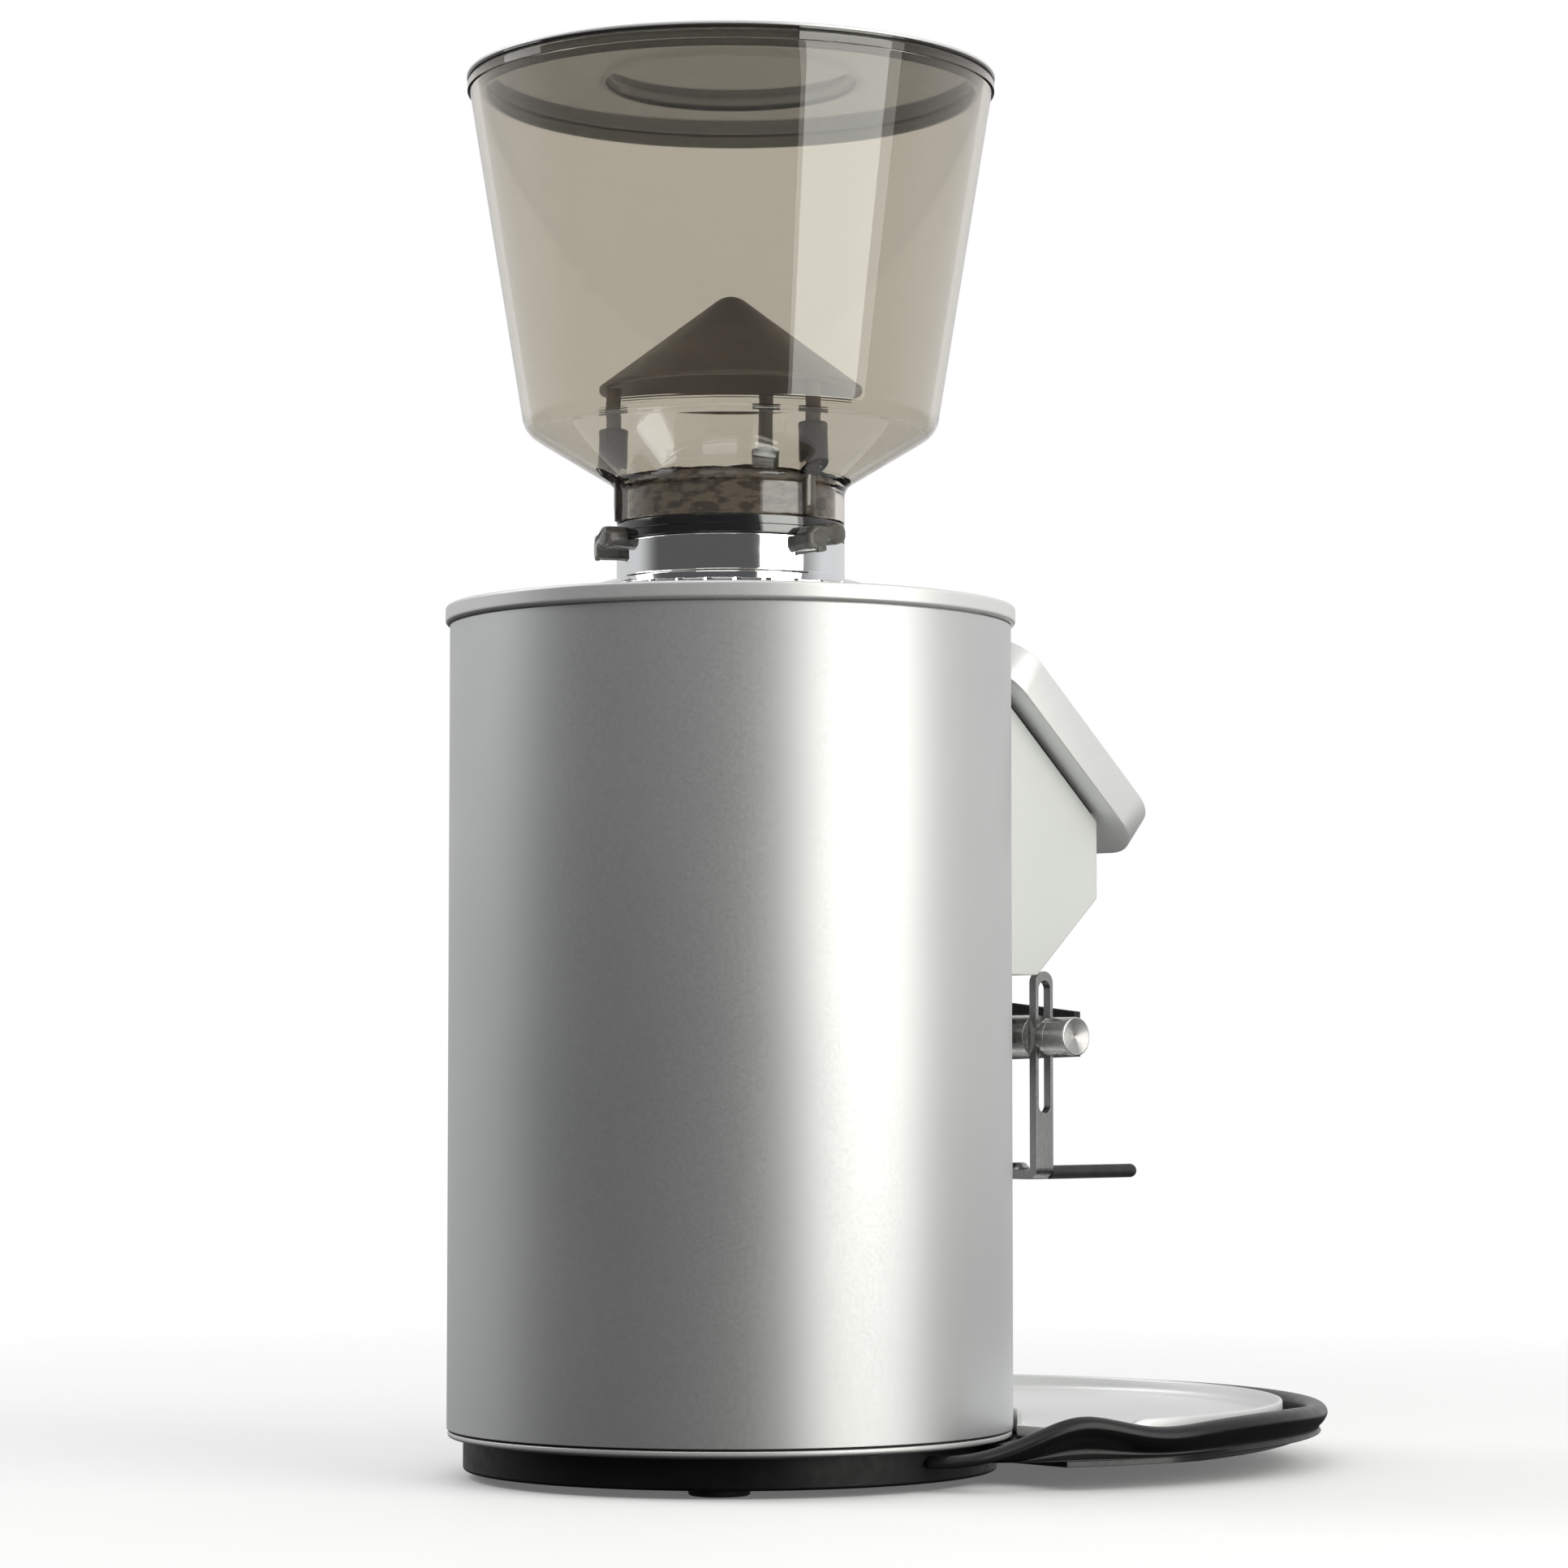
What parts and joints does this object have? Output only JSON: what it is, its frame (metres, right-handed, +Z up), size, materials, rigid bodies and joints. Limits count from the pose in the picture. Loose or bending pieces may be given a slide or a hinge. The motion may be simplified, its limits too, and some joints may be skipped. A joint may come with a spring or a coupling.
{
  "type": "burr coffee grinder",
  "caption": "Doser-less electric burr coffee grinder: round metal body, clear bean hopper, tilted control display, height-adjustable portafilter fork and round drip tray.",
  "frame": {"origin": "point where the axis of the round body meets the counter the feet stand on", "axes": "+Z up along the body axis, -Y towards the front with the display and the tray, +X to the right of someone who faces the front"},
  "size_m": [0.2758, 0.3294, 0.4773],
  "materials": {
    "satin_aluminium": "satin bead-blasted and anodised",
    "housing_paint": "fine satin paint",
    "chrome": "polished",
    "stainless": "brushed",
    "black_plastic": "semi-gloss moulded",
    "matte_black": "matte",
    "rubber": "matte",
    "smoked_clear": "clear smoked plastic",
    "smoked_brown": "smoked plastic",
    "display_glass": "black glass",
    "cast_metal": "as cast",
    "tool_steel": "ground",
    "lamination": "oiled steel sheets",
    "copper": "enamelled wire",
    "circuit_board": "solder resist",
    "red_plastic": "gloss"
  },
  "bodies": {
    "chassis": {"rubber_feet": "rubber", "base_pan": "black_plastic", "base_lip_ring": "satin_aluminium", "body_shell": "satin_aluminium", "top_cap": "satin_aluminium", "cap_screws": "stainless", "chassis_pillars": "stainless", "support_plate": "cast_metal", "motor_stator": "lamination", "motor_windings": "copper", "motor_bottom_bell": "cast_metal", "motor_top_flange": "cast_metal", "motor_tie_bolts": "stainless", "shaft_bearings": "tool_steel", "run_capacitor": "black_plastic", "fixing_screws": "stainless", "grinding_chamber": "cast_metal", "shaft_seal": "rubber", "front_housing": "housing_paint", "housing_gasket": "matte_black", "display_case": "satin_aluminium", "display_glass": "display_glass", "control_board": "circuit_board", "outlet_chute": "black_plastic", "outlet_spout": "black_plastic", "fork_bracket": "matte_black", "cross_rod": "stainless", "microswitch": "matte_black", "cable_gland": "black_plastic", "switch_frame": "black_plastic", "tray_holder": "black_plastic", "tray_rim": "black_plastic", "carrier_springs": "stainless"},
    "rotor": {"motor_shaft": "tool_steel", "rotor_core": "lamination", "cooling_fan": "black_plastic", "lower_burr_carrier": "cast_metal", "lower_burr": "tool_steel", "burr_bolt": "tool_steel"},
    "burr_carrier": {"upper_burr_carrier": "cast_metal", "upper_burr": "tool_steel"},
    "collar": {"adjusting_collar": "chrome"},
    "lock_ring": {"lock_ring": "black_plastic"},
    "hopper": {"hopper_shell": "smoked_clear", "neck_insert": "smoked_brown"},
    "deflector": {"deflector_cone": "smoked_brown", "deflector_legs": "smoked_brown"},
    "lid": {"hopper_lid": "smoked_clear"},
    "fork": {"fork_bars": "stainless", "prong_sleeves": "matte_black"},
    "washer_left": {"washer_left": "stainless"},
    "washer_right": {"washer_right": "stainless"},
    "knob_left": {"knob_left": "stainless"},
    "knob_right": {"knob_right": "stainless"},
    "activation_plate": {"activation_plate": "matte_black"},
    "key_1": {"display_key_1": "stainless"},
    "key_2": {"display_key_2": "stainless"},
    "key_3": {"display_key_3": "stainless"},
    "power_rocker": {"power_rocker": "red_plastic"},
    "drip_tray": {"drip_tray": "satin_aluminium"}
  },
  "joints": [
    {"name": "rotor_spin", "type": "hinge", "parent": "chassis", "child": "rotor", "pos_m": [0, 0, 0.168], "axis": [0, 0, 1], "continuous": true},
    {"name": "collar_turn", "type": "hinge", "parent": "chassis", "child": "collar", "pos_m": [0, 0, 0.29], "axis": [0, 0, 1], "range_deg": [-90, 270]},
    {"name": "carrier_travel", "type": "slide", "parent": "chassis", "child": "burr_carrier", "axis": [0, 0, 1], "range_m": [-0.0004, 0.0012], "deforming": ["carrier_springs"]},
    {"name": "lock_ring_turn", "type": "hinge", "parent": "collar", "child": "lock_ring", "pos_m": [0, 0, 0.316], "axis": [0, 0, 1], "range_deg": [0, 25]},
    {"name": "hopper_lift", "type": "slide", "parent": "lock_ring", "child": "hopper", "axis": [0, 0, 1], "range_m": [0, 0.06]},
    {"name": "deflector_lift", "type": "slide", "parent": "hopper", "child": "deflector", "axis": [0, 0, 1], "range_m": [0, 0.04]},
    {"name": "lid_lift", "type": "slide", "parent": "hopper", "child": "lid", "axis": [0, 0, 1], "range_m": [0, 0.05]},
    {"name": "fork_height", "type": "slide", "parent": "chassis", "child": "fork", "axis": [0, 0, 1], "range_m": [-0.016, 0.01]},
    {"name": "washer_left_travel", "type": "slide", "parent": "chassis", "child": "washer_left", "axis": [-1, 0, 0], "range_m": [0, 0.0016]},
    {"name": "washer_right_travel", "type": "slide", "parent": "chassis", "child": "washer_right", "axis": [1, 0, 0], "range_m": [0, 0.0016]},
    {"name": "knob_left_turn", "type": "hinge", "parent": "washer_left", "child": "knob_left", "pos_m": [-0.035, -0.1186, 0.1471], "axis": [-1, 0, 0], "range_deg": [0, 720]},
    {"name": "knob_right_turn", "type": "hinge", "parent": "washer_right", "child": "knob_right", "pos_m": [0.035, -0.1186, 0.1471], "axis": [1, 0, 0], "range_deg": [0, 720]},
    {"name": "plate_push", "type": "slide", "parent": "chassis", "child": "activation_plate", "axis": [0, 1, 0], "range_m": [0, 0.0035], "stiffness_N_per_m": 300, "springref_m": -0.002},
    {"name": "key_1_press", "type": "slide", "parent": "chassis", "child": "key_1", "axis": [0, 0.6639, -0.7478], "range_m": [0, 0.0008], "stiffness_N_per_m": 600, "springref_m": -0.0005},
    {"name": "key_2_press", "type": "slide", "parent": "chassis", "child": "key_2", "axis": [0, 0.6639, -0.7478], "range_m": [0, 0.0008], "stiffness_N_per_m": 600, "springref_m": -0.0005},
    {"name": "key_3_press", "type": "slide", "parent": "chassis", "child": "key_3", "axis": [0, 0.6639, -0.7478], "range_m": [0, 0.0008], "stiffness_N_per_m": 600, "springref_m": -0.0005},
    {"name": "power_rocker_tilt", "type": "hinge", "parent": "chassis", "child": "power_rocker", "pos_m": [0.092, 0, 0.062], "axis": [0, 1, 0], "range_deg": [-16, 0]},
    {"name": "tray_lift", "type": "slide", "parent": "chassis", "child": "drip_tray", "axis": [0, 0, 1], "range_m": [0, 0.04]}
  ],
  "couplings": [
    {"joint": "carrier_travel", "follows": "collar_turn", "m_per_rad": 0.00023873},
    {"joint": "knob_left_turn", "follows": "washer_left_travel", "rad_per_m": 7854},
    {"joint": "knob_right_turn", "follows": "washer_right_travel", "rad_per_m": 7854}
  ]
}
